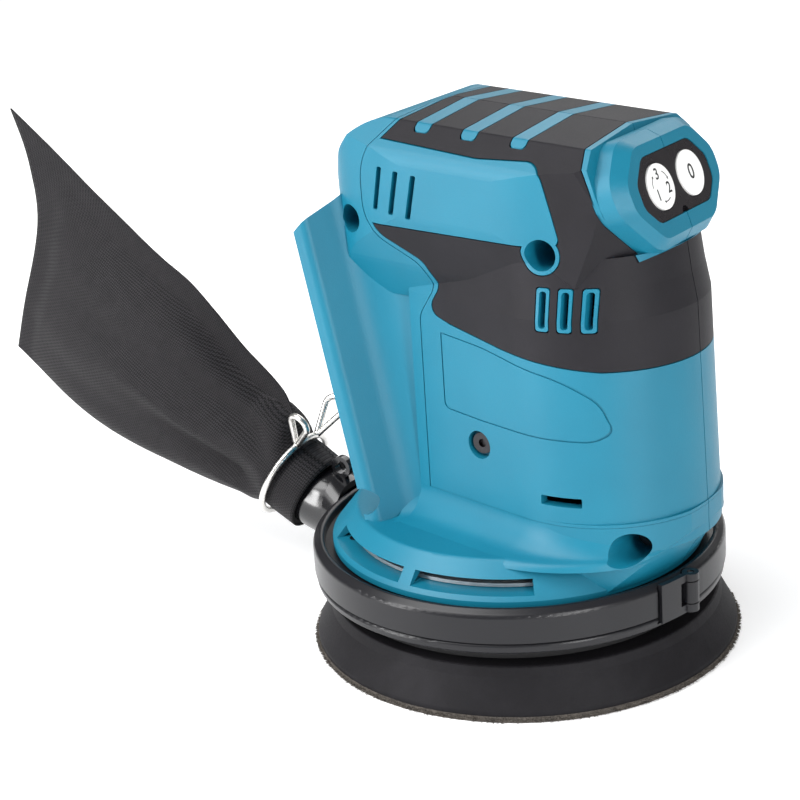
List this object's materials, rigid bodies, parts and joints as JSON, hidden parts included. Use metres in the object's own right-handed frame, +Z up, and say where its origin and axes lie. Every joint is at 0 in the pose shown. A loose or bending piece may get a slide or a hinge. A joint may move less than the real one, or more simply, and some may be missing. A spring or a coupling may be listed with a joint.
{
  "type": "dual action polisher",
  "caption": "Palm-held cordless random-orbit polisher with a round hook-and-loop pad, dust ring, soft grip, battery dock and clamped cloth dust bag.",
  "frame": {"origin": "on the motor spindle's axis, at the working face of the pad", "axes": "+Z up along the spindle, +X towards the switch nose, +Y to the tool's left seen from behind"},
  "size_m": [0.2707, 0.123, 0.1552],
  "materials": {
    "blue_shell": "fine moulded texture, satin",
    "soft_grip": "fine texture, matt",
    "panel_black": "polished",
    "button_white": "satin film over a disc",
    "inner_black": "moulded",
    "circuit_board": "solder mask",
    "motor_steel": "zinc plated",
    "magnet": "ground ferrite",
    "carbon": "pressed carbon",
    "copper": "lacquered wire and bars",
    "brass_part": "stamped",
    "spring_steel": "ground",
    "cast_alloy": "die cast",
    "fin_alloy": "extruded",
    "pad_shell": "moulded, matt",
    "pad_foam": "skinned foam",
    "hook": "hook-and-loop nap",
    "ring_black": "satin with a polished rim",
    "seal": "matt",
    "spout_black": "polished",
    "bag_cloth": "woven polyester",
    "bright_wire": "bright drawn wire",
    "lead": "insulation",
    "screw_black": "black oxide"
  },
  "bodies": {
    "housing": {"bearing_box": "cast_alloy", "bearing_retainer": "spring_steel", "brush_holders": "brass_part", "brush_springs": "spring_steel", "carbon_brushes": "carbon", "controller_board": "circuit_board", "controller_case": "inner_black", "dust_ring": "ring_black", "dust_spout": "spout_black", "field_magnets": "magnet", "front_shell_left": "blue_shell", "front_shell_right": "blue_shell", "grip_rubber_left": "soft_grip", "grip_rubber_right": "soft_grip", "heat_sink": "fin_alloy", "housing_screws": "screw_black", "latch_pin": "spring_steel", "lower_bearing": "spring_steel", "motor_can": "motor_steel", "motor_cradle": "inner_black", "motor_end_cap": "inner_black", "motor_leads": "lead", "rear_shell_left": "blue_shell", "rear_shell_right": "blue_shell", "ring_screws": "screw_black", "seal_skirt": "seal", "switch_board": "circuit_board", "switch_frame": "inner_black", "switch_lead": "lead", "switch_panel": "panel_black", "tact_switches": "inner_black", "terminal_blades": "brass_part", "terminal_block": "inner_black", "upper_bearing": "spring_steel"},
    "rotor": {"motor_shaft": "spring_steel", "armature_core": "motor_steel", "windings": "copper", "commutator_bars": "copper", "commutator_sleeve": "inner_black", "cooling_fan": "inner_black", "counterweight_fan": "cast_alloy", "pad_bearing": "spring_steel"},
    "pad": {"pad_spindle": "spring_steel", "pad_plate": "pad_shell", "pad_foam": "pad_foam", "hook_face": "hook", "pad_washer": "spring_steel", "pad_bolt": "spring_steel"},
    "speed_button": {"speed_button": "button_white"},
    "off_button": {"off_button": "button_white"},
    "latch": {"ring_latch": "ring_black"},
    "bag": {"dust_bag": "bag_cloth", "bag_collar": "bag_cloth", "spring_clamp": "bright_wire"}
  },
  "joints": [
    {"name": "rotor_spin", "type": "hinge", "parent": "housing", "child": "rotor", "pos_m": [0, 0, 0.05], "axis": [0, 0, 1], "continuous": true},
    {"name": "pad_spin", "type": "hinge", "parent": "rotor", "child": "pad", "pos_m": [0.00107, 0.0009, 0.02], "axis": [0, 0, 1], "continuous": true},
    {"name": "speed_press", "type": "slide", "parent": "housing", "child": "speed_button", "axis": [-0.9336, 0, -0.3584], "range_m": [0, 0.0008], "stiffness_N_per_m": 1200},
    {"name": "off_press", "type": "slide", "parent": "housing", "child": "off_button", "axis": [-0.9336, 0, -0.3584], "range_m": [0, 0.0008], "stiffness_N_per_m": 1200},
    {"name": "latch_swing", "type": "hinge", "parent": "housing", "child": "latch", "pos_m": [0.05955, -0.00731, 0.026], "axis": [0, 0, 1], "range_deg": [0, 100]},
    {"name": "bag_pull", "type": "slide", "parent": "housing", "child": "bag", "axis": [-0.8829, 0, 0.4695], "range_m": [0, 0.03]}
  ]
}
